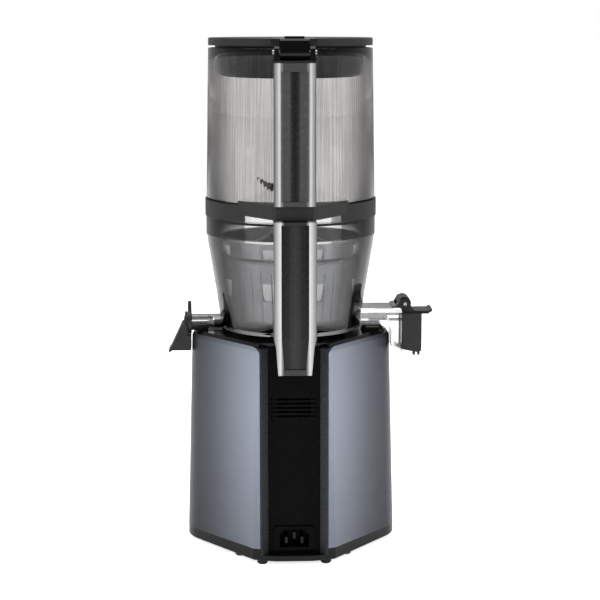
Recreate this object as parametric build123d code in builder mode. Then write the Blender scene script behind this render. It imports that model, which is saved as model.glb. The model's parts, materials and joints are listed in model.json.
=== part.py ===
from build123d import *
from math import acos, cos, pi, radians, sin, tan
import os

os.makedirs("parts", exist_ok=True)

# Vertical slow juicer. Millimetres, +Z up, front towards -Y, rear (handle, vents, inlet) towards +Y.
# Everything is drawn about the drive axis and moved once, on export, so that the origin is
# the middle of the machine's footprint on the table.

# ---- Driving dimensions ------------------------------------------------------------------
# Body
BODY_R = 93.2            # half-width at the foot of the body
BODY_FOOT, SHOULDER, BODY_TOP = 9.0, 187.0, 190.0
DRAFT = 1.6              # the body narrows upwards, degrees
WALL = 3.0
REAR_FLAT = 92.0         # rear face to drive axis, at the foot
SIDE_FLAT = 81.7         # angled rear faces to drive axis, at the foot
SIDE_TURN = 51.3         # angled faces turned this far from the rear, degrees
REAR_CORNER_R = 11.0     # rounding between the rear face and an angled face
SIDE_CORNER_R = 34.0     # rounding between an angled face and the round front
STRIP_HALF = 29.2        # half-width of the rear strip
STRIP_GAP = 0.3
RECESS_HALF = 22.4       # half-width of the handle recess inside it
DECK_TOP = 192.4
DECK_LIP = 8.3           # deck edge inside the outline at the foot
# Drive
GEAR_OFFSET = 38.4       # layshaft ahead of the drive axis
FAST_MODULE, SLOW_MODULE = 0.8, 1.2
PINION_TEETH, WHEEL_TEETH = 16, 80
LAY_TEETH, OUTPUT_TEETH = 16, 48
BACKLASH = 0.16
SHAFT_R, MOTOR_SHAFT_R = 7.0, 4.0
HEX_FLATS = 12.0
# Bowl, strainers and auger
BOWL_WALL = 2.6
BOWL_FLOOR = 195.0
BOWL_RIM = 295.0
SPOUT_Z, SPOUT_R = 199.2, 6.3
# Hopper, collar and lid
COLLAR_R = 75.5
COLLAR_LOW, COLLAR_TOP = 295.2, 309.8
HOPPER_TOP_R, HOPPER_LOW_R = 72.0, 74.3
HOPPER_FOOT, HOPPER_TOP = 308.1, 441.0
HOPPER_WALL = 2.2
LID_R, LID_LOW, LID_TOP = 71.8, 443.0, 449.6
# Handles
HANDLE_REAR = 112.0      # rear face of the bowl handle
HOPPER_HANDLE_REAR = 108.0
HANDLE_DEEP = 18.0
HINGE_Y, HINGE_Z = 98.0, 438.5
# Pulp flap and control dial
FLAP_X, FLAP_Z = -101.3, 215.6
KNUCKLE_R = 5.8
KNOB_Z, KNOB_FACE, KNOB_R = 100.0, -106.0, 16.0
BEZEL_R = 20.0

TOP_INSET = (SHOULDER - BODY_FOOT) * tan(radians(DRAFT))    # how far the draft brings the walls in
LEFT_END, RIGHT_END = 109.3, -126.0
TO_ORIGIN = Location((-(LEFT_END + RIGHT_END) / 2, -(HANDLE_REAR + KNOB_FACE) / 2, 0))


# ---- Shared shapes -----------------------------------------------------------------------
def body_outline(inset=0.0):
    """Plan of the body: a round front cut by the rear face and two angled rear faces."""
    with BuildSketch() as plan:
        Circle(BODY_R - inset)
        for angle, distance in ((90, REAR_FLAT), (90 - SIDE_TURN, SIDE_FLAT), (90 + SIDE_TURN, SIDE_FLAT)):
            with PolarLocations(distance - inset + BODY_R, 1, start_angle=angle):
                Rectangle(2 * BODY_R, 4 * BODY_R, mode=Mode.SUBTRACT)
        rows = plan.vertices().group_by(Axis.Y)
        fillet(rows[0], SIDE_CORNER_R)
        fillet(plan.vertices().group_by(Axis.Y)[-1], REAR_CORNER_R)
    return plan.sketch


def gear_outline(teeth, module, turn=0.0):
    """Involute spur gear with stub teeth and a little backlash, one tooth centred on angle turn."""
    pitch_r = teeth * module / 2
    base_r = pitch_r * cos(radians(20))
    root_r, tip_r = pitch_r - 1.05 * module, pitch_r + 0.8 * module
    start_r = max(base_r, root_r)

    def flank_angle(r):
        half = pi / (2 * teeth) - BACKLASH / (2 * pitch_r)
        at_pitch, at_r = radians(20), acos(min(1.0, base_r / r))
        return half + (tan(at_pitch) - at_pitch) - (tan(at_r) - at_r)

    radii = [start_r + (tip_r - start_r) * step / 3 for step in range(4)]
    points = []
    for tooth in range(teeth):
        middle = radians(turn) + 2 * pi * tooth / teeth
        rising = [(root_r, -flank_angle(start_r))] if root_r < base_r else []
        rising += [(r, -flank_angle(r)) for r in radii]
        falling = [(r, -angle) for r, angle in reversed(rising)]
        points += [(r * cos(middle + a), r * sin(middle + a)) for r, a in rising + falling]
    with BuildSketch() as outline:
        with BuildLine():
            Polyline(*points, close=True)
        make_face()
    return outline.sketch


def strip_plane(height=BODY_FOOT + 0.6):
    """Plane across the rear strip at a height: X is X, Y points out of the rear face."""
    rise = height - BODY_FOOT
    lean = radians(DRAFT)
    return Plane(origin=(0, REAR_FLAT - rise * tan(lean), height), x_dir=(1, 0, 0),
                 z_dir=(0, -sin(lean), cos(lean)))


def rear_face_plane(height, depth=0.0):
    """Upright plane on the rear strip: X runs along -X, Y runs up, Z points rearwards."""
    lean = radians(DRAFT)
    y = REAR_FLAT - (height - BODY_FOOT) * tan(lean) - depth
    return Plane(origin=(0, y, height), x_dir=(-1, 0, 0), z_dir=(0, 1, 0))


# ---- Base: casing ------------------------------------------------------------------------
BAND_LOW = 4.0
BAND_FRONT, BAND_REAR = 12.3, 14.6    # top of the black foot band: level in front, rising to the rear
FAR = 2 * BODY_R                      # beyond the body on every side


def band_side(gap, end):
    """Side view of what lies between the top of the foot band, less a gap, and a height."""
    with BuildSketch(Plane.YZ.offset(-FAR)) as side:
        Polygon((-FAR, BAND_FRONT - gap), (0, BAND_FRONT - gap), (REAR_FLAT, BAND_REAR - gap),
                (FAR, BAND_REAR - gap), (FAR, end), (-FAR, end), align=None)
    return side.sketch


PANEL_CORNER_R = 6.0     # the casing is rounded beside the top of the rear strip


def panel_corner(side, corner_r, inward):
    """What that rounding takes off one upper corner, seen from the rear."""
    edge = STRIP_HALF + STRIP_GAP
    with BuildSketch(Plane.XZ) as corner:
        with Locations((side * (edge + (PANEL_CORNER_R - inward) / 2), BODY_TOP - PANEL_CORNER_R / 2)):
            Rectangle(PANEL_CORNER_R + inward, PANEL_CORNER_R)
        with Locations((side * (edge + PANEL_CORNER_R), BODY_TOP - PANEL_CORNER_R)):
            Circle(corner_r, mode=Mode.SUBTRACT)
    return corner.sketch


with BuildPart() as body_shell:
    add(body_outline().moved(Location((0, 0, BODY_FOOT))))
    extrude(amount=SHOULDER - BODY_FOOT, taper=DRAFT)
    add(body_outline(TOP_INSET).moved(Location((0, 0, SHOULDER))))
    extrude(amount=BODY_TOP - SHOULDER, taper=30)
    add(body_outline(WALL).moved(Location((0, 0, BODY_FOOT - 1))))
    extrude(amount=BODY_TOP - BODY_FOOT + 2, taper=DRAFT, mode=Mode.SUBTRACT)
    with BuildSketch(Plane.XY):
        with Locations((0, REAR_FLAT)):
            Rectangle(2 * (STRIP_HALF + STRIP_GAP), 40)
    extrude(amount=BODY_TOP + 10, mode=Mode.SUBTRACT)
    for side in (1, -1):
        add(panel_corner(side, PANEL_CORNER_R, 0))
    extrude(amount=FAR, dir=(0, 1, 0), mode=Mode.SUBTRACT)
    with BuildSketch(Plane.XZ):
        with Locations((0, KNOB_Z)):
            Circle(BEZEL_R + 0.2)
    extrude(amount=FAR, mode=Mode.SUBTRACT)
    add(band_side(0, BODY_TOP + 10))
    extrude(amount=2 * FAR, dir=(1, 0, 0), mode=Mode.INTERSECT)
body_shell.part.label = "body_shell"

FOOT_R = 4.6
FEET = ((27.5, 82.5), (-27.5, 82.5), (46.5, 58.5), (-46.5, 58.5), (48, -62), (-48, -62))
BASE_SCREWS = ((60, -10), (-60, -10), (24, -72), (-24, -72), (38, 62), (-38, 62))

with BuildPart() as base_plate:
    add(body_outline().moved(Location((0, 0, BAND_LOW))))
    extrude(amount=BAND_REAR, taper=DRAFT)
    chamfer(base_plate.faces().sort_by(Axis.Z)[0].edges(), 1)
    add(body_outline(WALL).moved(Location((0, 0, BODY_FOOT))))
    extrude(amount=40, mode=Mode.SUBTRACT)
    add(band_side(0.2, -5))
    extrude(amount=2 * FAR, dir=(1, 0, 0), mode=Mode.INTERSECT)
    with BuildSketch(Plane.XY.offset(BODY_FOOT)):
        with Locations((0, REAR_FLAT)):
            Rectangle(2 * (STRIP_HALF + STRIP_GAP), 30)
    extrude(amount=30, mode=Mode.SUBTRACT)
    with BuildSketch(Plane.XY):
        with Locations(*BASE_SCREWS):
            Circle(2.2)
        with PolarLocations(16, 10):
            SlotOverall(16, 3)
    extrude(amount=30, mode=Mode.SUBTRACT)
base_plate.part.label = "base_plate"

with BuildPart() as rubber_feet:
    with BuildSketch(Plane.XY):
        with Locations(*FEET):
            Circle(FOOT_R)
    extrude(amount=BAND_LOW)
    chamfer(rubber_feet.edges().group_by(Axis.Z)[0], 1.2)
rubber_feet.part.label = "rubber_feet"

with BuildPart() as base_screws:
    with BuildSketch(Plane.XY.offset(BODY_FOOT + 0.02)):
        with Locations(*BASE_SCREWS):
            Circle(4)
    extrude(amount=2.4)
    with BuildSketch(Plane.XY.offset(BAND_LOW)):
        with Locations(*BASE_SCREWS):
            Circle(2)
    extrude(amount=6)
base_screws.part.label = "base_screws"

# ---- Base: rear strip, vents and inlet -----------------------------------------------------
VENT_Z, VENT_PITCH, VENT_ROWS = 137.0, 3.7, 5
INLET_Z, INLET_HALF, INLET_HIGH = 22.5, 17.5, 21.0

with BuildPart() as rear_cover:
    with BuildSketch(strip_plane()):
        with Locations((0, -11)):
            Rectangle(2 * STRIP_HALF, 3)
    extrude(amount=BODY_TOP - BODY_FOOT - 1)
    with BuildSketch(strip_plane()):
        for side in (1, -1):
            with Locations((side * (STRIP_HALF - 1.5), -15)):
                Rectangle(3, 6)
    extrude(amount=BODY_TOP - BODY_FOOT - 16)
    with BuildSketch(rear_face_plane(VENT_Z, 30)):
        with GridLocations(0, VENT_PITCH, 1, VENT_ROWS):
            SlotOverall(30, 1.9)
        for side in (1, -1):
            with Locations((side * 18.2, 0)):
                with GridLocations(2.4, VENT_PITCH, 2, VENT_ROWS):
                    Circle(0.8)
    extrude(amount=40, mode=Mode.SUBTRACT)
    with BuildSketch(rear_face_plane(INLET_Z, 30)):
        RectangleRounded(2 * INLET_HALF + 0.4, INLET_HIGH + 0.4, 3)
    extrude(amount=40, mode=Mode.SUBTRACT)
rear_cover.part.label = "rear_cover"

# Bevel trims beside the recess: their face slopes from the body edge down to the recess, and at
# the top they fill the panel's rounded corner.
trim_corners = {}
for side in (1, -1):
    with BuildPart() as trim_corner:
        with BuildSketch(Plane.XY.offset(BODY_TOP - PANEL_CORNER_R - 1)):
            add(body_outline(TOP_INSET + 0.8))
            add(body_outline(DECK_LIP - 0.3), mode=Mode.SUBTRACT)
        extrude(amount=PANEL_CORNER_R + 0.5)
        add(panel_corner(side, PANEL_CORNER_R + STRIP_GAP, 1.5))
        extrude(amount=FAR, dir=(0, 1, 0), mode=Mode.INTERSECT)
    trim_corners[side] = trim_corner

for side, name in ((1, "rear_trim_left"), (-1, "rear_trim_right")):
    with BuildPart() as rear_trim:
        with BuildSketch(strip_plane()):
            Polygon((side * STRIP_HALF, -9.45), (side * STRIP_HALF, -0.8), (side * (STRIP_HALF - 1), -0.4),
                    (side * RECESS_HALF, -6), (side * RECESS_HALF, -9.45), align=None)
        extrude(amount=BODY_TOP - BODY_FOOT - 1)
        add(trim_corners[side].part)
    rear_trim.part.label = name
    if side > 0:
        rear_trim_left = rear_trim
    else:
        rear_trim_right = rear_trim

with BuildPart() as inlet_socket:
    with BuildSketch(rear_face_plane(INLET_Z, 28)):
        RectangleRounded(2 * INLET_HALF, INLET_HIGH, 2.8)
    extrude(amount=21)
    with BuildSketch(rear_face_plane(INLET_Z, 23)):
        with BuildLine():
            Polyline((-12.6, -8), (12.6, -8), (12.6, 3.6), (8.2, 8), (-8.2, 8), (-12.6, 3.6), close=True)
        make_face()
    extrude(amount=20, mode=Mode.SUBTRACT)
    with BuildSketch(rear_face_plane(INLET_Z, 30)):
        with Locations((0, 2.2), (6.8, -2), (-6.8, -2)):
            Rectangle(2.4, 6)
    extrude(amount=30, mode=Mode.SUBTRACT)
inlet_socket.part.label = "inlet_socket"

with BuildPart() as inlet_pins:
    with BuildSketch(rear_face_plane(INLET_Z, 34)):
        with Locations((0, 2.2), (6.8, -2), (-6.8, -2)):
            Rectangle(2.2, 5.6)
    extrude(amount=25)
inlet_pins.part.label = "inlet_pins"

# ---- Base: top deck ------------------------------------------------------------------------
GEAR_POSTS = ((34, 30), (-34, 30), (29.5, -62), (-29.5, -62))
CASE_TOP = 128.0
HUMP_TOP = 196.8         # a hump in the deck carries the pulp chute

with BuildPart() as top_deck:
    add(body_outline(DECK_LIP).moved(Location((0, 0, BODY_TOP - 7.6))))
    extrude(amount=7.6, taper=DRAFT)
    add(body_outline(DECK_LIP + 0.3).moved(Location((0, 0, BODY_TOP))))
    extrude(amount=DECK_TOP - BODY_TOP, taper=30)
    with BuildSketch(Plane.XY.offset(DECK_TOP - 2)):
        with Locations((-72, 0)):
            RectangleRounded(20, 34, 5)
    extrude(amount=HUMP_TOP - DECK_TOP + 2)
    fillet(top_deck.faces().sort_by(Axis.Z)[-1].edges(), 4)
    with BuildSketch(Plane.XY.offset(BODY_TOP - 9)):
        Circle(60)
    extrude(amount=DECK_TOP - BODY_TOP + 6, mode=Mode.SUBTRACT)
    with BuildSketch(Plane.XY.offset(CASE_TOP + 4.4)):
        with Locations(*GEAR_POSTS):
            Circle(4.6)
    extrude(until=Until.NEXT)
    with BuildSketch(Plane.XY):
        Circle(15)
    extrude(amount=300, mode=Mode.SUBTRACT)
    with BuildSketch(Plane.XY):
        with Locations(*GEAR_POSTS):
            Circle(1.75)
    extrude(amount=BODY_TOP - 14, mode=Mode.SUBTRACT)
    with BuildSketch(Plane.YZ.offset(58)):
        with Locations((0, SPOUT_Z)):
            Circle(11.5)
    extrude(amount=60, mode=Mode.SUBTRACT)
    with BuildSketch(Plane.XY.offset(BODY_TOP - 20)):
        with Locations((0, REAR_FLAT - 2)):
            Rectangle(2 * STRIP_HALF + 0.8, 32)
    extrude(amount=60, mode=Mode.SUBTRACT)
top_deck.part.label = "top_deck"

# ---- Base: motor ---------------------------------------------------------------------------
STATOR_R, STATOR_LOW, STATOR_TOP = 36.0, 36.0, 84.0
BELL_R = 40.0

with BuildPart() as motor_stator:
    with BuildSketch(Plane.XY.offset(STATOR_LOW)):
        Circle(STATOR_R)
        Circle(28, mode=Mode.SUBTRACT)
        with PolarLocations(24.5, 12):
            Rectangle(9, 5)
        Circle(20.6, mode=Mode.SUBTRACT)
    extrude(amount=STATOR_TOP - STATOR_LOW)
motor_stator.part.label = "motor_stator"

with BuildPart() as stator_windings:
    for low, high in ((STATOR_LOW - 5, STATOR_LOW - 0.1), (STATOR_TOP + 0.1, STATOR_TOP + 5)):
        with BuildSketch(Plane.XY.offset(low)):
            Circle(28)
            Circle(21, mode=Mode.SUBTRACT)
        extrude(amount=high - low)
    fillet(stator_windings.edges(), 1)
stator_windings.part.label = "stator_windings"

for low, high, name in ((26, 31, "motor_lower_bell"), (89.5, 94.5, "motor_upper_bell")):
    rim_low, rim_high = (low, STATOR_LOW) if low < STATOR_LOW else (STATOR_TOP, high)
    with BuildPart() as bell:
        with BuildSketch(Plane.XY.offset(low)):
            Circle(BELL_R)
            with PolarLocations(22, 6):
                Circle(5, mode=Mode.SUBTRACT)
        extrude(amount=high - low)
        with BuildSketch(Plane.XY.offset(rim_low)):
            Circle(BELL_R)
            Circle(30, mode=Mode.SUBTRACT)
        extrude(amount=rim_high - rim_low)
        with BuildSketch(Plane.XY):
            Circle(9)
            with PolarLocations(38, 4, start_angle=45):
                Circle(1.7)
        extrude(amount=120, mode=Mode.SUBTRACT)
    bell.part.label = name
    if low < STATOR_LOW:
        motor_lower_bell = bell
    else:
        motor_upper_bell = bell

with BuildPart() as bearings:
    for low, high, outer, bore in ((26, 31, 8.98, MOTOR_SHAFT_R), (89.5, 94.5, 8.98, MOTOR_SHAFT_R),
                                   (131, 141, 12.98, SHAFT_R), (164, 174, 12.98, SHAFT_R)):
        with BuildSketch(Plane.XY.offset(low)):
            Circle(outer)
            Circle(bore + 0.05, mode=Mode.SUBTRACT)
        extrude(amount=high - low)
bearings.part.label = "bearings"

with BuildPart() as motor_rotor:
    with BuildSketch(Plane.XY.offset(STATOR_LOW + 1)):
        Circle(20)
        Circle(MOTOR_SHAFT_R, mode=Mode.SUBTRACT)
        with PolarLocations(12.5, 8):
            Circle(2.2, mode=Mode.SUBTRACT)
    extrude(amount=STATOR_TOP - STATOR_LOW - 2)
motor_rotor.part.label = "motor_rotor"

with BuildPart() as motor_shaft:
    with BuildSketch(Plane.XY.offset(13)):
        Circle(MOTOR_SHAFT_R)
    extrude(amount=99)
    chamfer(motor_shaft.edges().filter_by(GeomType.CIRCLE), 0.5)
motor_shaft.part.label = "motor_shaft"

with BuildPart() as motor_pinion:
    add(gear_outline(PINION_TEETH, FAST_MODULE).moved(Location((0, 0, 102))))
    extrude(amount=9)
    with BuildSketch(Plane.XY.offset(102)):
        Circle(MOTOR_SHAFT_R)
    extrude(amount=9, mode=Mode.SUBTRACT)
motor_pinion.part.label = "motor_pinion"

with BuildPart() as cooling_fan:
    with BuildSketch(Plane.XY.offset(14)):
        Circle(9)
        Circle(MOTOR_SHAFT_R, mode=Mode.SUBTRACT)
    extrude(amount=9)
    with BuildSketch(Plane.XY.offset(20.5)):
        Circle(31)
        Circle(8.5, mode=Mode.SUBTRACT)
    extrude(amount=1.5)
    with BuildSketch(Plane.XY.offset(14)):
        with PolarLocations(20, 9):
            Rectangle(21, 1.6, rotation=18)
    extrude(amount=6.6)
cooling_fan.part.label = "cooling_fan"

# ---- Base: gearbox -------------------------------------------------------------------------
LAY_AXIS = (0, -GEAR_OFFSET)


def case_outline(inset):
    """Gearbox plan: two overlapping round ends joined by straight sides."""
    with BuildSketch() as plan:
        Circle(45 - inset)
        with Locations(LAY_AXIS):
            Circle(38 - inset)
        with Locations((0, -GEAR_OFFSET / 2)):
            Rectangle(2 * (37 - inset), GEAR_OFFSET)
    return plan.sketch


with BuildPart() as gearbox_case:
    add(case_outline(0).moved(Location((0, 0, 97))))
    extrude(amount=CASE_TOP - 97)
    add(case_outline(2.6).moved(Location((0, 0, 100.4))))
    extrude(amount=40, mode=Mode.SUBTRACT)
    with BuildSketch(Plane.XY.offset(97)):
        with Locations(*GEAR_POSTS):
            Circle(5)
    extrude(amount=CASE_TOP - 97)
    with BuildSketch(Plane.XY.offset(90)):
        Circle(MOTOR_SHAFT_R + 1)
        with Locations(LAY_AXIS):
            Circle(3)
        with Locations(*GEAR_POSTS):
            Circle(1.85)
    extrude(amount=60, mode=Mode.SUBTRACT)
    with BuildSketch(Plane.XY.offset(100.4)):
        with Locations(LAY_AXIS):
            Circle(WHEEL_TEETH * FAST_MODULE / 2 + 1.8)
        Circle(OUTPUT_TEETH * SLOW_MODULE / 2 + 2)
    extrude(amount=60, mode=Mode.SUBTRACT)
gearbox_case.part.label = "gearbox_case"

with BuildPart() as gearbox_cover:
    add(case_outline(0).moved(Location((0, 0, CASE_TOP + 0.1))))
    extrude(amount=4.2)
    with BuildSketch(Plane.XY.offset(CASE_TOP + 0.1)):
        Circle(16.5)
    extrude(amount=48)
    with BuildSketch(Plane.XY.offset(CASE_TOP + 0.1)):
        with PolarLocations(20, 6, start_angle=30):
            Rectangle(14, 3)
    extrude(amount=24)
    with BuildSketch(Plane.XY.offset(100)):
        Circle(13)
        with Locations(LAY_AXIS):
            Circle(3)
        with Locations(*GEAR_POSTS):
            Circle(1.85)
    extrude(amount=120, mode=Mode.SUBTRACT)
gearbox_cover.part.label = "gearbox_cover"

with BuildPart() as drive_screws:
    for low, high, radius in ((93.8, 150, 1.7), (93.8, 96.9, 3.4)):
        with BuildSketch(Plane.XY.offset(low)):
            with Locations(*GEAR_POSTS):
                Circle(radius)
        extrude(amount=high - low)
    for low, high, radius in ((23, 96.8, 1.6), (23, 25.9, 3.2)):
        with BuildSketch(Plane.XY.offset(low)):
            with PolarLocations(38, 4, start_angle=45):
                Circle(radius)
        extrude(amount=high - low)
drive_screws.part.label = "drive_screws"

with BuildPart() as layshaft_pin:
    with BuildSketch(Plane.XY.offset(97.5)):
        with Locations(LAY_AXIS):
            Circle(2.98)
    extrude(amount=34)
layshaft_pin.part.label = "layshaft_pin"

with BuildPart() as layshaft_gear:
    half_pitch = 180 / WHEEL_TEETH
    add(gear_outline(WHEEL_TEETH, FAST_MODULE, half_pitch).moved(Location((0, -GEAR_OFFSET, 103))))
    extrude(amount=7)
    add(gear_outline(LAY_TEETH, SLOW_MODULE).moved(Location((0, -GEAR_OFFSET, 110))))
    extrude(amount=17.4)
    with BuildSketch(Plane.XY.offset(102)):
        with Locations(LAY_AXIS):
            Circle(3.08)
    extrude(amount=30, mode=Mode.SUBTRACT)
    with BuildSketch(Plane.XY.offset(102)):
        with Locations(LAY_AXIS):
            with PolarLocations(21, 6):
                Circle(5.4)
    extrude(amount=9, mode=Mode.SUBTRACT)
layshaft_gear.part.label = "layshaft_gear"

with BuildPart() as output_gear:
    half_pitch = 180 / OUTPUT_TEETH
    add(gear_outline(OUTPUT_TEETH, SLOW_MODULE, half_pitch).moved(Location((0, 0, 113.4))))
    extrude(amount=13)
    with BuildSketch(Plane.XY.offset(113)):
        Circle(SHAFT_R)
        with PolarLocations(17.5, 6, start_angle=30):
            Circle(4.6)
    extrude(amount=20, mode=Mode.SUBTRACT)
output_gear.part.label = "output_gear"

with BuildPart() as drive_shaft:
    with BuildSketch(Plane.XY.offset(113)):
        Circle(SHAFT_R)
    extrude(amount=91)
    with BuildSketch(Plane.XY.offset(200)):
        RegularPolygon(HEX_FLATS / 2, 6, major_radius=False)
    extrude(amount=26)
    chamfer(drive_shaft.faces().sort_by(Axis.Z)[-1].edges(), 0.8)
drive_shaft.part.label = "drive_shaft"

with BuildPart() as shaft_seal:
    with BuildSketch(Plane.XY.offset(177.2)):
        Circle(14.9)
        Circle(SHAFT_R + 0.1, mode=Mode.SUBTRACT)
    extrude(amount=12)
    chamfer(shaft_seal.edges().group_by(Axis.Z)[-1], 0.8)
shaft_seal.part.label = "shaft_seal"

# ---- Base: electrics -----------------------------------------------------------------------
with BuildPart() as control_board:
    with BuildSketch(Plane.XZ.offset(-66)):
        with Locations((0, 66)):
            RectangleRounded(52, 62, 2)
        with Locations((0, 66)):
            with GridLocations(44, 54, 2, 2):
                Circle(1.6, mode=Mode.SUBTRACT)
    extrude(amount=1.6)
control_board.part.label = "control_board"

with BuildPart() as board_parts:
    for x, z, radius, tall in ((-14, 78, 7, 14), (4, 78, 7, 14), (16, 52, 4, 10)):
        with BuildSketch(Plane.XZ.offset(-64.3)):
            with Locations((x, z)):
                Circle(radius)
        extrude(amount=tall)
    with BuildSketch(Plane.XZ.offset(-64.3)):
        with Locations((-12, 52)):
            Rectangle(18, 14)
    extrude(amount=11)
board_parts.part.label = "board_parts"

with BuildPart() as dial_switch:
    with BuildSketch(Plane.XZ.offset(78)):
        with Locations((0, KNOB_Z)):
            RectangleRounded(24, 24, 2)
    extrude(amount=7)
    with BuildSketch(Plane.XZ.offset(70)):
        with Locations((0, KNOB_Z)):
            Circle(3.3)
    extrude(amount=30, mode=Mode.SUBTRACT)
dial_switch.part.label = "dial_switch"

with BuildPart() as dial_bezel:
    with BuildSketch(Plane.XZ.offset(85.2)):
        with Locations((0, KNOB_Z)):
            Circle(BEZEL_R)
            Circle(3.4, mode=Mode.SUBTRACT)
    extrude(amount=8.2)
    fillet(dial_bezel.edges().group_by(Axis.Y)[0].sort_by(SortBy.LENGTH)[-1], 1.2)
dial_bezel.part.label = "dial_bezel"

with BuildPart() as control_knob:
    with BuildSketch(Plane.XZ.offset(94)):
        with Locations((0, KNOB_Z)):
            Circle(KNOB_R)
    extrude(amount=-KNOB_FACE - 94)
    fillet(control_knob.edges().group_by(Axis.Y)[0], 2)
    with BuildSketch(Plane.XZ.offset(79)):
        with Locations((0, KNOB_Z)):
            Circle(3.2)
    extrude(amount=15.5)
    with BuildSketch(Plane.XZ.offset(-KNOB_FACE - 1)):
        with Locations((0, KNOB_Z + 10)):
            SlotOverall(9, 2, rotation=90)
    extrude(amount=5, mode=Mode.SUBTRACT)
control_knob.part.label = "control_knob"

with BuildPart() as knob_pointer:
    with BuildSketch(Plane.XZ.offset(-KNOB_FACE - 0.98)):
        with Locations((0, KNOB_Z + 10)):
            SlotOverall(8.9, 1.9, rotation=90)
    extrude(amount=0.8)
knob_pointer.part.label = "knob_pointer"

# ---- Bowl ----------------------------------------------------------------------------------
# Outer half-profile of the bowl below the collar, radius against height.
BOWL_OUTER = ((61.9, BOWL_FLOOR), (66.0, 225), (67.9, 236), (70.4, 252), (73.0, 268), (74.0, 277),
              (74.7, 279), (74.7, BOWL_RIM), (71.8, BOWL_RIM), (71.8, 304))
HUB_R, HUB_BORE, HUB_TOP = 17.0, 12.4, 208.0
CHUTE_HALF, CHUTE_WALL = 15.0, 2.0
CHUTE = ((-55, 212), (-98.4, 212), (-98.4, 172.5), (-89.4, 176.7), (-89.4, 192), (-85.5, 200.8), (-55, 200.8))
CHUTE_BORE = ((-50, 209.8), (-92, 209.8), (-94, 207.2), (-101, 207.2), (-101, 173.8), (-98.4, 174.8),
              (-91.6, 178.2), (-91.6, 193), (-86.5, 202.9), (-50, 202.9))

with BuildPart() as juicing_bowl:
    with BuildSketch(Plane.XZ):
        Polygon((0, BOWL_FLOOR), *BOWL_OUTER, (0, 304), align=None)
    revolve(axis=Axis.Z)
    with BuildSketch(Plane.XZ):
        Polygon(*CHUTE, align=None)
    extrude(amount=CHUTE_HALF, both=True)
    with BuildSketch(Plane.YZ.offset(52)):
        with Locations((0, SPOUT_Z)):
            Circle(SPOUT_R)
    extrude(amount=44)
    inner = [(r - BOWL_WALL, z) for r, z in BOWL_OUTER[1:6]] + [(71.2, 279), (71.2, 292), (69.2, 294)]
    with BuildSketch(Plane.XZ):
        Polygon((0, BOWL_FLOOR + 2.8), (58.6, BOWL_FLOOR + 2.8), *inner, (69.2, 310), (0, 310), align=None)
    revolve(axis=Axis.Z, mode=Mode.SUBTRACT)
    with BuildSketch(Plane.XY.offset(BOWL_FLOOR)):
        Circle(HUB_R)
    extrude(amount=HUB_TOP - BOWL_FLOOR)
    with BuildSketch(Plane.XY.offset(BOWL_FLOOR - 5)):
        Circle(HUB_BORE)
    extrude(amount=40, mode=Mode.SUBTRACT)
    with BuildSketch(Plane.XZ):
        Polygon(*CHUTE_BORE, align=None)
    extrude(amount=CHUTE_HALF - CHUTE_WALL, both=True, mode=Mode.SUBTRACT)
    with BuildSketch(Plane.YZ.offset(50)):
        with Locations((0, SPOUT_Z)):
            Circle(SPOUT_R - 1.6)
    extrude(amount=60, mode=Mode.SUBTRACT)
    with BuildSketch(Plane.XZ):
        Polygon((94, 210), (97.5, 192), (120, 185), (120, 220), align=None)
    extrude(amount=20, both=True, mode=Mode.SUBTRACT)
    with BuildSketch(Plane.XZ):
        with Locations((FLAP_X, FLAP_Z)):
            Circle(KNUCKLE_R + 0.3)
    extrude(amount=11.6, both=True, mode=Mode.SUBTRACT)
juicing_bowl.part.label = "juicing_bowl"

with BuildPart() as bowl_seal:
    with BuildSketch(Plane.XZ):
        Polygon((SHAFT_R + 0.4, 197), (12.35, 197), (12.35, 206), (10, HUB_TOP), (SHAFT_R + 0.4, HUB_TOP),
                align=None)
    revolve(axis=Axis.Z)
bowl_seal.part.label = "bowl_seal"

with BuildPart() as compression_plug:
    with BuildSketch(Plane.XY.offset(BOWL_FLOOR - 2.4)):
        with Locations((-40, 18)):
            SlotOverall(24, 11, rotation=70)
    extrude(amount=2.3)
compression_plug.part.label = "compression_plug"

# Bowl handle: a channel moulding with a dark grip insert, hung from the bowl's upper rim.
HANDLE_HALF, GRIP_HALF = 17.8, 11.4
HANDLE_FRONT = HANDLE_REAR - HANDLE_DEEP
HANDLE_SIDE = ((66, 300.4), (HANDLE_REAR, 300.4), (HANDLE_REAR, 203), (106.5, 171), (97, 171),
               (HANDLE_FRONT, 200), (HANDLE_FRONT, 282), (88, 287), (66, 287))

with BuildPart() as bowl_handle:
    with BuildSketch(Plane.YZ):
        Polygon(*HANDLE_SIDE, align=None)
        Polygon((55, 202), (HANDLE_FRONT + 1, 202), (HANDLE_FRONT + 1, 211), (55, 211), align=None)
    extrude(amount=HANDLE_HALF, both=True)
    with BuildSketch(Plane.XZ):
        Polygon((0, 190), (61.3, 190), *[(r + 0.04, z) for r, z in BOWL_OUTER[:7]],
                (BOWL_OUTER[6][0] + 0.04, BOWL_RIM - 0.2), (COLLAR_R + 0.5, BOWL_RIM - 0.2),
                (COLLAR_R + 0.5, 310), (0, 310), align=None)
    revolve(axis=Axis.Z, mode=Mode.SUBTRACT)
    with BuildSketch(Plane.XZ):
        Polygon((13.2, 160), (16, 196), (HANDLE_HALF, 203), (HANDLE_HALF, 310), (30, 310), (30, 160), align=None)
        Polygon((-13.2, 160), (-16, 196), (-HANDLE_HALF, 203), (-HANDLE_HALF, 310), (-30, 310), (-30, 160),
                align=None)
    extrude(amount=-200, mode=Mode.SUBTRACT)
    with BuildSketch(Plane.XZ.offset(-(HANDLE_FRONT + 6))):
        Polygon((9, 176), (GRIP_HALF, 203), (GRIP_HALF, 298), (-GRIP_HALF, 298), (-GRIP_HALF, 203), (-9, 176),
                align=None)
    extrude(amount=-60, mode=Mode.SUBTRACT)
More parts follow.
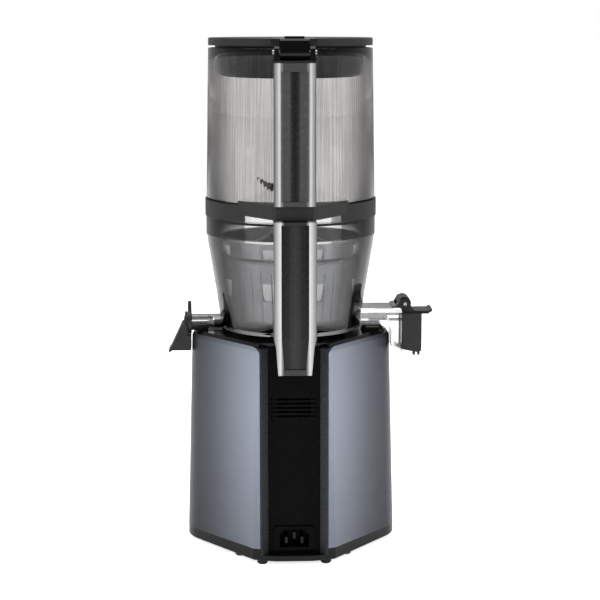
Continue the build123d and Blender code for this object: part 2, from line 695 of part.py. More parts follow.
bowl_handle.part.label = "bowl_handle"

with BuildPart() as bowl_grip:
    with BuildSketch(Plane.XZ.offset(-(HANDLE_FRONT + 6.05))):
        Polygon((8.9, 176.2), (GRIP_HALF - 0.1, 203), (GRIP_HALF - 0.1, 297.9), (-GRIP_HALF + 0.1, 297.9),
                (-GRIP_HALF + 0.1, 203), (-8.9, 176.2), align=None)
    extrude(amount=-(HANDLE_DEEP - 7))
    with BuildSketch(Plane.YZ):
        Polygon((HANDLE_REAR - 1, 320), (HANDLE_REAR - 1, 203), (105.4, 171), (103, 160), (140, 160), (140, 320),
                align=None)
    extrude(amount=30, both=True, mode=Mode.SUBTRACT)
bowl_grip.part.label = "bowl_grip"

# ---- Juice nozzle and its rotary valve lever -------------------------------------------------
LEVER_X, LEVER_THICK = 88.7, 3.3
NOZZLE_HALF = 11.0

with BuildPart() as juice_nozzle:
    with BuildSketch(Plane.XZ):
        Polygon((89.2, 187.4), (92.4, 187.4), (92.4, 198), (97.1, 198), (107.3, 176.2), (LEFT_END, 173.4),
                (108.2, 172.6), (105.8, 174.2), (89.2, 174.2), align=None)
    extrude(amount=NOZZLE_HALF, both=True)
    with BuildSketch(Plane.YZ.offset(92.4)):
        with Locations((0, SPOUT_Z)):
            Circle(SPOUT_R + 2.2)
    extrude(amount=2.2)
    with BuildSketch(Plane.XZ):
        Polygon((91.2, 185.4), (92.4, 189), (95.6, 196), (104.4, 176), (104.8, 170), (91.2, 170), align=None)
    extrude(amount=NOZZLE_HALF - 2, both=True, mode=Mode.SUBTRACT)
    with BuildSketch(Plane.YZ.offset(74)):
        with Locations((0, SPOUT_Z)):
            Circle(SPOUT_R + 2.2)
        with Locations((0, SPOUT_Z + 8)):
            Rectangle(30, 20, mode=Mode.SUBTRACT)
    extrude(amount=20)
    with BuildSketch(Plane.YZ.offset(60)):
        with Locations((0, SPOUT_Z)):
            Circle(SPOUT_R + 0.1)
    extrude(amount=36.5, mode=Mode.SUBTRACT)
juice_nozzle.part.label = "juice_nozzle"

with BuildPart() as juice_lever:
    with BuildSketch(Plane.YZ.offset(LEVER_X)):
        with Locations((0, SPOUT_Z)):
            Circle(11.1)
        with Locations((0, SPOUT_Z + 10)):
            SlotOverall(16, 8, rotation=90)
        with Locations((0, SPOUT_Z)):
            Circle(SPOUT_R + 2.6, mode=Mode.SUBTRACT)
    extrude(amount=LEVER_THICK)
    fillet(juice_lever.faces().sort_by(Axis.X)[-1].outer_wire().edges(), 0.8)
juice_lever.part.label = "juice_lever"

# ---- Pulp outlet: hinged end flap ------------------------------------------------------------
with BuildPart() as chute_gasket:
    with BuildSketch(Plane.YZ.offset(-99.1)):
        with Locations((0, 190.5)):
            Rectangle(2 * CHUTE_HALF, 35)
            Rectangle(2 * CHUTE_HALF - 5, 31, mode=Mode.SUBTRACT)
    extrude(amount=0.65)
chute_gasket.part.label = "chute_gasket"

with BuildPart() as chute_ears:
    for side in (1, -1):
        with BuildSketch(Plane.XZ.offset(side * 14 - 1.5)):
            with Locations((FLAP_X, FLAP_Z)):
                Circle(KNUCKLE_R - 1)
            Polygon((-93, 212.05), (-97, 219.5), (-103, 219.8), (-104, 212.05), align=None)
            with Locations((FLAP_X, FLAP_Z)):
                Circle(1.55, mode=Mode.SUBTRACT)
        extrude(amount=3)
    with BuildSketch(Plane.XZ):
        Polygon((-90, 212.05), (-90, 213.6), (-94.2, 213.6), (-94.2, 212.05), align=None)
    extrude(amount=15.5, both=True)
    with BuildSketch(Plane.XZ):
        Polygon((-80, 200), (-80, 212.05), (-98.5, 212.05), (-98.5, 200), align=None)
    extrude(amount=30, both=True, mode=Mode.SUBTRACT)
chute_ears.part.label = "chute_ears"

with BuildPart() as flap_pin:
    with BuildSketch(Plane.XZ.offset(-16.5)):
        with Locations((FLAP_X, FLAP_Z)):
            Circle(1.5)
    extrude(amount=33)
flap_pin.part.label = "flap_pin"

with BuildPart() as pulp_flap:
    with BuildSketch(Plane.XZ):
        Polygon((-99.3, 207), (-99.6, 210), (-101.3, 214), (-103, 217), (-106.6, 214), (-110, 208.9),
                (-123, 208.9), (RIGHT_END, 210.6), (RIGHT_END, 208.2), (-123, 206.8), (-116.3, 206.8),
                (-116.3, 173), (-111, 172.2), (-99.3, 174.6), align=None)
    extrude(amount=CHUTE_HALF + 1, both=True)
    with BuildSketch(Plane.XY.offset(206.9)):
        for side in (1, -1):
            with Locations((-100, side * 14.6)):
                Rectangle(25, 6.6)
        with Locations((-118, 16.5), (-118, -16.5)):
            Rectangle(17, 9)
    extrude(amount=20, mode=Mode.SUBTRACT)
    with BuildSketch(Plane.XZ):
        with Locations((FLAP_X, FLAP_Z)):
            Circle(KNUCKLE_R)
    extrude(amount=11, both=True)
    with BuildSketch(Plane.XZ):
        Polygon((-101.8, 204), (-113.8, 204), (-113.8, 175.5), (-101.8, 177), align=None)
    extrude(amount=CHUTE_HALF - 1.5, both=True)
    with BuildSketch(Plane.XZ):
        with Locations((FLAP_X, FLAP_Z)):
            Circle(1.6)
    extrude(amount=20, both=True, mode=Mode.SUBTRACT)
    for x in (-111, -115.2):
        with BuildSketch(Plane.XY.offset(167)):
            with Locations((x, 0)):
                Rectangle(1.9, 8)
        extrude(amount=8)
pulp_flap.part.label = "pulp_flap"

# ---- Strainers and auger -----------------------------------------------------------------------
STRAINER_OUTER = ((56.0, 198.4), (63.2, 258), (63.2, 260), (59.8, 261.4), (60.8, 277))
STRAINER_INNER = ((53.2, 198.4), (60.2, 256), (60.2, 257.6), (57.2, 259), (57.2, 277))
OUTER_WALL, INNER_WALL = 2.2, 1.4
WINDOWS = ((233, 70, 16), (266, 56, 9))    # middle height, width and height of each row
AUGER_TOP = 276.0
SOCKET_TOP = 227.0

with BuildPart() as strainer_outer:
    with BuildSketch(Plane.XZ):
        Polygon(*STRAINER_OUTER, *[(r - OUTER_WALL, z) for r, z in reversed(STRAINER_OUTER)], align=None)
    revolve(axis=Axis.Z)
    for middle, width, height in WINDOWS:
        with BuildSketch(Plane.XY.offset(middle - height / 2)):
            with PolarLocations(64, 4):
                Rectangle(24, width)
        extrude(amount=height, mode=Mode.SUBTRACT)
strainer_outer.part.label = "strainer_outer"

with BuildPart() as strainer_inner:
    with BuildSketch(Plane.XZ):
        Polygon(*STRAINER_INNER, *[(r - INNER_WALL, z) for r, z in reversed(STRAINER_INNER)], align=None)
        Polygon((HUB_R + 0.6, 198.4), (52.4, 198.4), (52.4, 200.4), (HUB_R + 0.6, 200.4), align=None)
    revolve(axis=Axis.Z)
    with BuildSketch(Plane.XY.offset(206)):
        with PolarLocations(56, 40):
            Rectangle(20, 1.2)
    extrude(amount=44, mode=Mode.SUBTRACT)
    with BuildSketch(Plane.XY.offset(198)):
        with PolarLocations(40, 1, start_angle=155):
            Rectangle(12, 22)
    extrude(amount=3, mode=Mode.SUBTRACT)
strainer_inner.part.label = "strainer_inner"

# Screw flights: a finned section twisted about the axis, trimmed to the strainer's cone.
FLIGHT_LOW, FLIGHT_TOP = 204.0, 262.0
with BuildSketch(Plane.XY.offset(FLIGHT_LOW)) as flight_section:
    Circle(36)
    with PolarLocations(0, 2):
        Rectangle(126, 5)
flight_twist = Solid.extrude_linear_with_rotation(
    flight_section.sketch.face(), (0, 0, FLIGHT_LOW), (0, 0, FLIGHT_TOP - FLIGHT_LOW), -200)

with BuildPart() as flights:
    add(flight_twist)
    with BuildSketch(Plane.XZ):
        Polygon((0, FLIGHT_LOW), (51, FLIGHT_LOW), (55.2, FLIGHT_TOP - 16), (54.8, FLIGHT_TOP - 8),
                (44, FLIGHT_TOP), (0, FLIGHT_TOP), align=None)
    revolve(axis=Axis.Z, mode=Mode.INTERSECT)

with BuildPart() as auger:
    with BuildSketch(Plane.XY.offset(201.5)):
        Circle(40)
        with PolarLocations(44, 3):
            Rectangle(12, 6)
    extrude(amount=8)
    with BuildSketch(Plane.XZ):
        Polygon((0, 201.5), (44, 201.5), (47, 232), (44, 258), (34, 270), (20, AUGER_TOP), (13, 284), (11, 322),
                (9, 325), (0, 325), align=None)
    revolve(axis=Axis.Z)
    add(flights.part)
    with BuildSketch(Plane.XY.offset(195)):
        Circle(HUB_R + 1.2)
    extrude(amount=HUB_TOP - 194.3, mode=Mode.SUBTRACT)
    with BuildSketch(Plane.XY.offset(195)):
        Circle(11.5)
    extrude(amount=SOCKET_TOP + 2 - 195, mode=Mode.SUBTRACT)
auger.part.label = "auger"

with BuildPart() as auger_socket:
    with BuildSketch(Plane.XY.offset(HUB_TOP + 0.8)):
        Circle(11.4)
        RegularPolygon(HEX_FLATS / 2 + 0.3, 6, major_radius=False, mode=Mode.SUBTRACT)
    extrude(amount=SOCKET_TOP - HUB_TOP - 0.8)
    with BuildSketch(Plane.XY.offset(SOCKET_TOP)):
        Circle(11.4)
    extrude(amount=1.8)
auger_socket.part.label = "auger_socket"

with BuildPart() as cutting_wing:
    with BuildSketch(Plane.XZ):
        with BuildLine():
            ThreePointArc((6, 325.2), (18, 327.6), (28.9, 336.4))
            Line((28.9, 336.4), (28.4, 337.6))
            ThreePointArc((28.4, 337.6), (16, 332.6), (6, 333.5))
            Polyline((6, 333.5), (-10, 333.5), (-16, 329), (-10, 325.2), (6, 325.2))
        make_face()
    extrude(amount=2, both=True)
    with BuildSketch(Plane.XY.offset(325.1)):
        Circle(8.8)
    extrude(amount=7)
    fillet(cutting_wing.faces().filter_by(GeomType.PLANE).sort_by(Axis.Z)[-1].edges(), 0.6)
cutting_wing.part.label = "cutting_wing"

# ---- Hopper ------------------------------------------------------------------------------------
HALF_BEAK = 17.4
NOTCH_HALF = 41.0        # the collar is cut higher where the bowl's handle joins the bowl

with BuildPart() as collar_ring:
    with BuildSketch(Plane.XY.offset(COLLAR_LOW)):
        Circle(COLLAR_R)
    extrude(amount=COLLAR_TOP - COLLAR_LOW)
    with BuildSketch(Plane.XY.offset(301)):
        Polygon((47, 58.3), (HALF_BEAK + 1, 99), (HALF_BEAK - 2, 102), (2 - HALF_BEAK, 102),
                (-1 - HALF_BEAK, 99), (-47, 58.3), align=None)
    extrude(amount=12)
    with BuildSketch(Plane.XY.offset(280)):
        Circle(72.1)
    extrude(amount=24.6, mode=Mode.SUBTRACT)
    with BuildSketch(Plane.XY.offset(290)):
        with Locations((0, 88.5)):
            Rectangle(10, 5.2)
    extrude(amount=19.6, mode=Mode.SUBTRACT)
    with BuildSketch(Plane.XY.offset(280)):
        Circle(68)
    extrude(amount=60, mode=Mode.SUBTRACT)
    with BuildSketch(Plane.XY.offset(308)):
        Circle(HOPPER_LOW_R + 0.1)
    extrude(amount=10, mode=Mode.SUBTRACT)
    with BuildSketch(Plane.XY.offset(280)):
        with Locations((0, 60)):
            Rectangle(2 * NOTCH_HALF, 90)
    extrude(amount=20.6, mode=Mode.SUBTRACT)
collar_ring.part.label = "collar_ring"

with BuildPart() as hopper:
    with BuildSketch(Plane.XZ):
        Polygon((HOPPER_LOW_R, HOPPER_FOOT), (HOPPER_TOP_R, HOPPER_TOP), (HOPPER_TOP_R - HOPPER_WALL, HOPPER_TOP),
                (HOPPER_LOW_R - HOPPER_WALL, HOPPER_FOOT), align=None)
    revolve(axis=Axis.Z)
hopper.part.label = "hopper"

with BuildPart() as hopper_floor:
    with BuildSketch(Plane.XZ):
        Polygon((67.8, 304.8), (67.8, 308.2), (71.3, 308.2), (71.3, 311.5), (64, 311.5), (50, 309.4), (47.5, 311),
                (46, 309), (47, 304.8), align=None)
    revolve(axis=Axis.Z)
    for side in (1, -1):
        with BuildSketch(Plane.XY.offset(309)):
            with Locations((side * 61, 0)):
                RectangleRounded(14, 40, 6)
        extrude(amount=6.5)
    with BuildSketch(Plane.XY.offset(300)):
        Circle(70.9)
        Circle(150, mode=Mode.SUBTRACT)
        Circle(71.3)
    extrude(amount=20, mode=Mode.INTERSECT)
hopper_floor.part.label = "hopper_floor"

# Hopper handle: a hollow moulding joined to the wall at the top, standing on the collar's beak.
HOPPER_HANDLE_FRONT = HOPPER_HANDLE_REAR - HANDLE_DEEP
with BuildPart() as hopper_handle:
    with BuildSketch(Plane.YZ):
        Polygon((HOPPER_HANDLE_FRONT, 313.1), (HOPPER_HANDLE_REAR, 313.1), (HOPPER_HANDLE_REAR, 430),
                (72.6, 430), (72.8, 420), (84, 418), (HOPPER_HANDLE_FRONT, 408), align=None)
    extrude(amount=HALF_BEAK, both=True)
    with BuildSketch(Plane.XZ.offset(-(HOPPER_HANDLE_FRONT + 4))):
        with Locations((0, 370)):
            Rectangle(2 * GRIP_HALF, 106)
    extrude(amount=-60, mode=Mode.SUBTRACT)
    fillet(hopper_handle.edges().filter_by(Axis.Z).group_by(Axis.Y)[-1].sort_by(Axis.X)[0], 2.5)
    fillet(hopper_handle.edges().filter_by(Axis.Z).group_by(Axis.Y)[-1].sort_by(Axis.X)[-1], 2.5)
hopper_handle.part.label = "hopper_handle"

with BuildPart() as hopper_grip:
    with BuildSketch(Plane.XZ.offset(-(HOPPER_HANDLE_FRONT + 4.05))):
        with Locations((0, 370)):
            Rectangle(2 * GRIP_HALF - 0.2, 105.8)
    extrude(amount=-(HANDLE_DEEP - 5))
hopper_grip.part.label = "hopper_grip"

with BuildPart() as safety_magnet:
    with BuildSketch(Plane.XZ.offset(-86)):
        with Locations((0, 307)):
            Rectangle(9.8, 4.8)
    extrude(amount=-5)
safety_magnet.part.label = "safety_magnet"

CHEEK_IN, CHEEK_OUT, CHEEK_R = 12.6, 16.8, 5.7
BARREL_R, TAB_HALF = 6.2, 8.0
with BuildPart() as hinge_block:
    with BuildSketch(Plane.YZ):
        Polygon((84, 430.1), (HOPPER_HANDLE_REAR, 430.1), (HOPPER_HANDLE_REAR - 1, 431.8), (84, 431.8),
                align=None)
    extrude(amount=CHEEK_OUT + 0.6, both=True)
    for side in (1, -1):
        with BuildSketch(Plane.YZ.offset(side * (CHEEK_IN + CHEEK_OUT) / 2)):
            with Locations((HINGE_Y, HINGE_Z)):
                Circle(CHEEK_R)
            Polygon((90, 431.8), (HINGE_Y + CHEEK_R, 431.8), (HINGE_Y + CHEEK_R, HINGE_Z),
                    (HINGE_Y - CHEEK_R, HINGE_Z), align=None)
            with Locations((HINGE_Y, HINGE_Z)):
                Circle(2.05, mode=Mode.SUBTRACT)
        extrude(amount=(CHEEK_OUT - CHEEK_IN) / 2, both=True)
hinge_block.part.label = "hinge_block"

with BuildPart() as hinge_pin:
    with BuildSketch(Plane.YZ):
        with Locations((HINGE_Y, HINGE_Z)):
            Circle(2.0)
    extrude(amount=CHEEK_OUT + 1.4, both=True)
hinge_pin.part.label = "hinge_pin"

# ---- Lid ---------------------------------------------------------------------------------------
with BuildPart() as lid:
    with BuildSketch(Plane.XY.offset(LID_LOW)):
        Circle(LID_R)
    extrude(amount=LID_TOP - LID_LOW)
    fillet(lid.edges().group_by(Axis.Z)[-1], 1.2)
lid.part.label = "lid"

with BuildPart() as lid_skirt:
    with BuildSketch(Plane.XZ):
        Polygon((66, LID_LOW - 0.05), (64.4, 418), (62.4, 415.5), (62.4, 418), (63.6, LID_LOW - 2.4),
                (40, LID_LOW - 2.4), (40, LID_LOW - 0.05), align=None)
    revolve(axis=Axis.Z)
lid_skirt.part.label = "lid_skirt"

with BuildPart() as lid_hinge_arm:
    with BuildSketch(Plane.XY.offset(LID_LOW + 1.6)):
        Polygon((13, 71.4), (19, 80), (19, 90), (CHEEK_IN, HINGE_Y), (-CHEEK_IN, HINGE_Y), (-19, 90),
                (-19, 80), (-13, 71.4), align=None)
        with Locations((0, 69)):
            Rectangle(26, 12)
        Circle(LID_R + 0.05, mode=Mode.SUBTRACT)
    extrude(amount=LID_TOP - LID_LOW - 1.6)
    with BuildSketch(Plane.YZ):
        with Locations((HINGE_Y, HINGE_Z)):
            Circle(BARREL_R)
        Polygon((88, LID_LOW + 1.6), (HINGE_Y, HINGE_Z), (HINGE_Y + BARREL_R, HINGE_Z), (HINGE_Y + 5, 448),
                (HINGE_Y + 3.6, LID_TOP), (80, LID_TOP), align=None)
    extrude(amount=CHEEK_IN - 0.5, both=True)
    with BuildSketch(Plane.YZ):
        Polygon((81, LID_TOP - 0.5), (HINGE_Y + 3, LID_TOP - 0.5), (HINGE_Y + 2, 451.5), (83, 451.5), align=None)
    extrude(amount=TAB_HALF, both=True)
    with BuildSketch(Plane.YZ):
        with Locations((HINGE_Y, HINGE_Z)):
            Circle(2.08)
    extrude(amount=20, both=True, mode=Mode.SUBTRACT)
lid_hinge_arm.part.label = "lid_hinge_arm"

# ---- Export ------------------------------------------------------------------------------------
PIECES = (
    body_shell, base_plate, rubber_feet, base_screws, rear_cover, rear_trim_left, rear_trim_right,
    inlet_socket, inlet_pins, top_deck, motor_stator, stator_windings, motor_lower_bell, motor_upper_bell,
    bearings, drive_screws, motor_rotor, motor_shaft, motor_pinion, cooling_fan, gearbox_case,
    gearbox_cover, layshaft_pin, layshaft_gear, output_gear, drive_shaft, shaft_seal, control_board,
    board_parts, dial_switch, dial_bezel, control_knob, knob_pointer, juicing_bowl, bowl_seal,
    compression_plug, bowl_handle, bowl_grip, juice_nozzle, juice_lever, chute_gasket, chute_ears,
    flap_pin, pulp_flap, strainer_outer, strainer_inner, auger, auger_socket, cutting_wing, collar_ring,
    hopper, hopper_floor, hopper_handle, hopper_grip, safety_magnet, hinge_block, hinge_pin, lid,
    lid_skirt, lid_hinge_arm,
)

for piece in PIECES:
    placed = piece.part.moved(TO_ORIGIN)
    placed.label = piece.part.label
    export_step(placed, f"parts/{placed.label}.step")
print(len(PIECES), "pieces")
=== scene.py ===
import json
from math import cos, pi, radians, sin

import bmesh
import bpy
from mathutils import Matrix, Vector


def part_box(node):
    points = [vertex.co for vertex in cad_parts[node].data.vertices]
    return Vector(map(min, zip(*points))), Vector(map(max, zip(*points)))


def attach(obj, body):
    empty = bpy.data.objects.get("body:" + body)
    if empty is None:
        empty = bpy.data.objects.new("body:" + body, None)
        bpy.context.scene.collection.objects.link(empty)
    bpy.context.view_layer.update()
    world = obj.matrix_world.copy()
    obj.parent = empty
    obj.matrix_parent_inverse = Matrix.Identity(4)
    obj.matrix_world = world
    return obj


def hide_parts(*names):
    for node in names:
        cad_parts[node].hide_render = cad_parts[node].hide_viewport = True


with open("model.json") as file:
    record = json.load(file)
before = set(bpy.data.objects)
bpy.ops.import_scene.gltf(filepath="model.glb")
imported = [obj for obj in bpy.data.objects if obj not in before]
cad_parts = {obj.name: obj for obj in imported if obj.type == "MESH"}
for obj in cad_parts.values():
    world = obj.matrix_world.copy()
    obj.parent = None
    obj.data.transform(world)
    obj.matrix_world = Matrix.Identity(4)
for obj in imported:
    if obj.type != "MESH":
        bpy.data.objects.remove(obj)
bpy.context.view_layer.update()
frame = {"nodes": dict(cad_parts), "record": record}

NODES = frame["nodes"]
MM = 0.001

# The drive axis: the lid is a disc centred on it.
LID_LOW, LID_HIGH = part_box("lid")
AXIS_X = (LID_LOW.x + LID_HIGH.x) / 2
AXIS_Y = (LID_LOW.y + LID_HIGH.y) / 2


def at(x, y, z):
    """A point in millimetres about the drive axis, as a place in the frame."""
    return Vector((AXIS_X + x * MM, AXIS_Y + y * MM, z * MM))


# ---- Materials -----------------------------------------------------------------------------
def new_material(name):
    material = bpy.data.materials.new(name)
    material.use_nodes = True
    nodes = material.node_tree.nodes
    nodes.clear()
    output = nodes.new("ShaderNodeOutputMaterial")
    shader = nodes.new("ShaderNodeBsdfPrincipled")
    material.node_tree.links.new(shader.outputs["BSDF"], output.inputs["Surface"])
    return material, nodes, material.node_tree.links, shader


def noise(nodes, links, size_mm, detail=3.0, stretch=(1, 1, 1)):
    """Noise in the object's own space, with features about size_mm across."""
    coords = nodes.new("ShaderNodeTexCoord")
    mapping = nodes.new("ShaderNodeMapping")
    mapping.inputs["Scale"].default_value = stretch
    texture = nodes.new("ShaderNodeTexNoise")
    texture.inputs["Scale"].default_value = 1 / (size_mm * MM)
    texture.inputs["Detail"].default_value = detail
    links.new(coords.outputs["Object"], mapping.inputs["Vector"])
    links.new(mapping.outputs["Vector"], texture.inputs["Vector"])
    return texture.outputs["Fac"]


def vary(nodes, links, source, low, high, target):
    """Drive a number socket between low and high."""
    spread = nodes.new("ShaderNodeMapRange")
    spread.inputs["From Min"].default_value = 0.3
    spread.inputs["From Max"].default_value = 0.7
    spread.inputs["To Min"].default_value = low
    spread.inputs["To Max"].default_value = high
    links.new(source, spread.inputs["Value"])
    links.new(spread.outputs["Result"], target)


def tint(nodes, links, source, colour, spread, target):
    """Drive a colour socket a little darker and lighter than colour."""
    ramp = nodes.new("ShaderNodeValToRGB")
    ramp.color_ramp.elements[0].position = 0.3
    ramp.color_ramp.elements[1].position = 0.7
    ramp.color_ramp.elements[0].color = (*[c * (1 - spread) for c in colour], 1)
    ramp.color_ramp.elements[1].color = (*[min(1, c * (1 + spread)) for c in colour], 1)
    links.new(source, ramp.inputs["Fac"])
    links.new(ramp.outputs["Color"], target)


def relief(nodes, links, source, depth_mm, shader):
    bump = nodes.new("ShaderNodeBump")
    bump.inputs["Distance"].default_value = depth_mm * MM
    bump.inputs["Strength"].default_value = 1.0
    links.new(source, bump.inputs["Height"])
    links.new(bump.outputs["Normal"], shader.inputs["Normal"])


def opaque(name, colour, rough, metallic=0.0, grain=0.5, depth=0.01, mottle=0.06,
           rough_spread=0.06, stretch=(1, 1, 1), specular=0.5):
    """A moulded or painted surface: fine grain relief, slow changes of tone and of gloss."""
    material, nodes, links, shader = new_material(name)
    shader.inputs["Metallic"].default_value = metallic
    shader.inputs["Specular IOR Level"].default_value = specular
    tint(nodes, links, noise(nodes, links, 9, stretch=stretch), colour, mottle, shader.inputs["Base Color"])
    vary(nodes, links, noise(nodes, links, 4, stretch=stretch), max(0.02, rough - rough_spread),
         rough + rough_spread, shader.inputs["Roughness"])
    relief(nodes, links, noise(nodes, links, grain, stretch=stretch), depth, shader)
    return material


def along(nodes, links, source, low, high, at_low, at_high):
    """A factor that runs from at_low to at_high while source runs from low to high."""
    ramp = nodes.new("ShaderNodeMapRange")
    ramp.interpolation_type = "SMOOTHSTEP"
    for socket, value in (("From Min", low), ("From Max", high), ("To Min", at_low), ("To Max", at_high)):
        ramp.inputs[socket].default_value = value
    links.new(source, ramp.inputs["Value"])
    return ramp.outputs["Result"]


def combine(nodes, links, operation, first, second):
    """The result of a math node on two sockets or numbers."""
    node = nodes.new("ShaderNodeMath")
    node.operation = operation
    for socket, value in zip(node.inputs, (first, second)):
        if isinstance(value, float):
            socket.default_value = value
        else:
            links.new(value, socket)
    return node.outputs[0]


def position(nodes, links):
    """Where a point is: its distance from the middle plane, and its height."""
    coords = nodes.new("ShaderNodeTexCoord")
    split = nodes.new("ShaderNodeSeparateXYZ")
    links.new(coords.outputs["Object"], split.inputs["Vector"])
    sideways = combine(nodes, links, "SUBTRACT", split.outputs["X"], AXIS_X)
    return combine(nodes, links, "ABSOLUTE", sideways, 0.0), split.outputs["Z"]


def fade(nodes, links, source, span, at_low, at_high):
    """along(), with the span in millimetres."""
    return along(nodes, links, source, span[0] * MM, span[1] * MM, at_low, at_high)


def scaled(nodes, links, factor, target):
    """A socket for a colour that is multiplied by factor on its way to target."""
    scale = nodes.new("ShaderNodeVectorMath")
    scale.operation = "SCALE"
    links.new(factor, scale.inputs["Scale"])
    links.new(scale.outputs[0], target)
    return scale.inputs[0]


MOULDING_WAVE = 14       # millimetres between the flow waves in clear parts


def clear(name, through, grazing, rough=0.02, mottle=0.03, depth=0.02, turn=(0.24, 0.52),
          zone=None, streaks=0.0, specular=0.5):
    """Smoke-tinted clear plastic, darker where the wall turns edge-on: partly the longer path through the
    tint, partly painted shade that stands in for dark surroundings seen at the limb;
    with slight flow waves from moulding and a little haze. A zone darkens part of it, by place."""
    material, nodes, links, shader = new_material(name)
    shader.inputs["Transmission Weight"].default_value = 1.0
    shader.inputs["IOR"].default_value = 1.46
    shader.inputs["Specular IOR Level"].default_value = specular
    # Painted shade: this Layer Weight ramp darkens the tint where the wall turns edge-on.
    edge = nodes.new("ShaderNodeLayerWeight")
    edge.inputs["Blend"].default_value = 0.5
    tone = nodes.new("ShaderNodeValToRGB")
    for point, position, colour in zip(tone.color_ramp.elements, turn, (through, grazing)):
        point.position = position
        point.color = (*colour, 1)
    links.new(edge.outputs["Facing"], tone.inputs["Fac"])
    cloud = nodes.new("ShaderNodeMix")
    cloud.data_type, cloud.blend_type = "RGBA", "MULTIPLY"
    cloud.inputs["Factor"].default_value = 1.0
    links.new(tone.outputs["Color"], cloud.inputs["A"])
    tint(nodes, links, noise(nodes, links, 20), [1 - mottle] * 3, mottle, cloud.inputs["B"])
    target = shader.inputs["Base Color"]
    if streaks:
        flow = noise(nodes, links, 1.6, detail=2, stretch=(1, 1, 0.008))
        target = scaled(nodes, links, along(nodes, links, flow, 0.35, 0.65, 1 - streaks, 1.0), target)
    if zone:
        target = scaled(nodes, links, zone(nodes, links), target)
    links.new(cloud.outputs["Result"], target)
    vary(nodes, links, noise(nodes, links, 6), rough * 0.5, rough * 1.5, shader.inputs["Roughness"])
    relief(nodes, links, noise(nodes, links, MOULDING_WAVE, detail=1), depth, shader)
    return material


# Where the painted shade on the bowl and the darkening of the strainer's foot lie: each fade starts and ends
# at these millimetres, which are heights, or distances from the middle plane.
BAND_HEIGHT, BAND_SIDE = (278.4, 279.4), (40.4, 41.4)
FOOT_HEIGHT, FOOT_SIDE = (198, 206), (68, 69)
CHUTE_FLOOR, CHUTE_FLOOR_TOP, CHUTE_FLOOR_SIDE = (200.2, 200.7), (202.9, 203.1), (69, 70)
CHUTE_ROOF, CHUTE_ROOF_SIDE = (209.6, 209.8), (75, 76)
STRAINER_FOOT = (203, 208)


def bowl_painted_shade(nodes, links):
    """Painted shade: dark round the upper band, apart from the part beside the handle, at the foot, and in
    the floor and roof of the pulp chute."""
    sideways, height = position(nodes, links)
    band = combine(nodes, links, "MULTIPLY", fade(nodes, links, height, BAND_HEIGHT, 0.0, 0.60),
                   fade(nodes, links, sideways, BAND_SIDE, 0.0, 1.0))
    light = combine(nodes, links, "SUBTRACT", 1.0, band)
    foot = combine(nodes, links, "MULTIPLY", fade(nodes, links, height, FOOT_HEIGHT, 0.65, 0.0),
                   fade(nodes, links, sideways, FOOT_SIDE, 1.0, 0.0))
    floor = combine(nodes, links, "MULTIPLY", fade(nodes, links, height, CHUTE_FLOOR, 0.0, 0.8),
                    fade(nodes, links, height, CHUTE_FLOOR_TOP, 1.0, 0.0))
    floor = combine(nodes, links, "MULTIPLY", floor, fade(nodes, links, sideways, CHUTE_FLOOR_SIDE, 0.0, 1.0))
    roof = combine(nodes, links, "MULTIPLY", fade(nodes, links, height, CHUTE_ROOF, 0.0, 0.3),
                   fade(nodes, links, sideways, CHUTE_ROOF_SIDE, 0.0, 1.0))
    dark = combine(nodes, links, "ADD", foot, combine(nodes, links, "ADD", floor, roof))
    return combine(nodes, links, "MULTIPLY", light, combine(nodes, links, "SUBTRACT", 1.0, dark))


def strainer_zone(nodes, links):
    """Black at the foot ring."""
    return fade(nodes, links, position(nodes, links)[1], STRAINER_FOOT, 0.12, 1.0)


FLAKE = 0.22                                     # millimetres across
PAINTED_LIGHT_SIDE, PAINTED_LIGHT_HEIGHT = (22, 86), (0, 190)    # millimetres over which the painted reflection and painted shade change the tone


def satin_paint_with_painted_light(name, colour):
    """Satin metallic paint: fine flakes under a soft clear coat. Painted reflection and shade: the colour
    runs lighter towards the middle plane and the top, where a soft box's reflection and the inner edge
    highlight fall, and darker towards the sides and the foot."""
    material, nodes, links, shader = new_material(name)
    shader.inputs["Metallic"].default_value = 0.75
    shader.inputs["Coat Weight"].default_value = 0.35
    shader.inputs["Coat Roughness"].default_value = 0.16
    coords = nodes.new("ShaderNodeTexCoord")
    flakes = nodes.new("ShaderNodeTexVoronoi")
    flakes.inputs["Scale"].default_value = 1 / (FLAKE * MM)
    links.new(coords.outputs["Object"], flakes.inputs["Vector"])
    sideways, height = position(nodes, links)
    # Painted reflection and shade: lighter near the middle plane and the top, darker at the sides and the
    # foot.
    shade = combine(nodes, links, "MULTIPLY", fade(nodes, links, sideways, PAINTED_LIGHT_SIDE, 2.7, 0.46),
                    fade(nodes, links, height, PAINTED_LIGHT_HEIGHT, 0.66, 1.18))
    tint(nodes, links, flakes.outputs["Distance"], colour, 0.10,
         scaled(nodes, links, shade, shader.inputs["Base Color"]))
    vary(nodes, links, noise(nodes, links, 12), 0.33, 0.41, shader.inputs["Roughness"])
    relief(nodes, links, noise(nodes, links, 0.35), 0.004, shader)
    return material


STOP_WANDER = 0.8        # millimetres that a banded tone wanders sideways along its length


